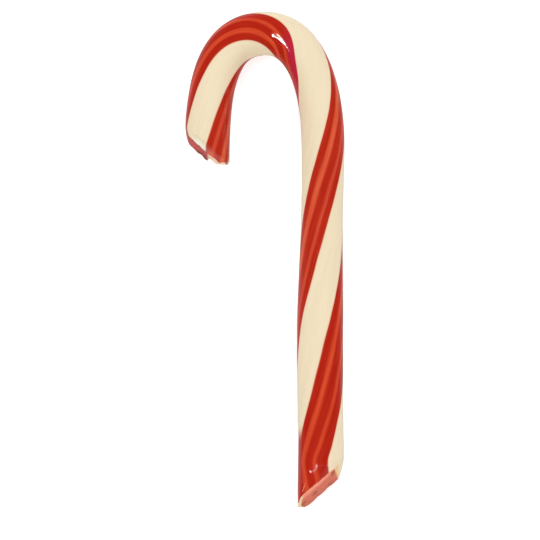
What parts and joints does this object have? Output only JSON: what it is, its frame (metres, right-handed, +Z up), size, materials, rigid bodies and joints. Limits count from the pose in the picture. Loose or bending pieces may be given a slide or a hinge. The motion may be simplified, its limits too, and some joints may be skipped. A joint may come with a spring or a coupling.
{
  "type": "candy cane",
  "caption": "Hook-shaped stick of pulled sugar candy, cream with wide red spiral bands, snipped slantwise at both ends, lying flat.",
  "frame": {"origin": "on the table, in the middle of the box round the cane as it lies flat", "axes": "+Z up from the table through the cane's thickness, +Y from the foot of the stem to the crown of the hook, the hook hanging over to -X"},
  "size_m": [0.0511, 0.1598, 0.0148],
  "materials": {
    "pulled_sugar": "glossy pulled sugar, cream with red bands"
  },
  "bodies": {
    "root": {"cane": "pulled_sugar"}
  },
  "joints": []
}
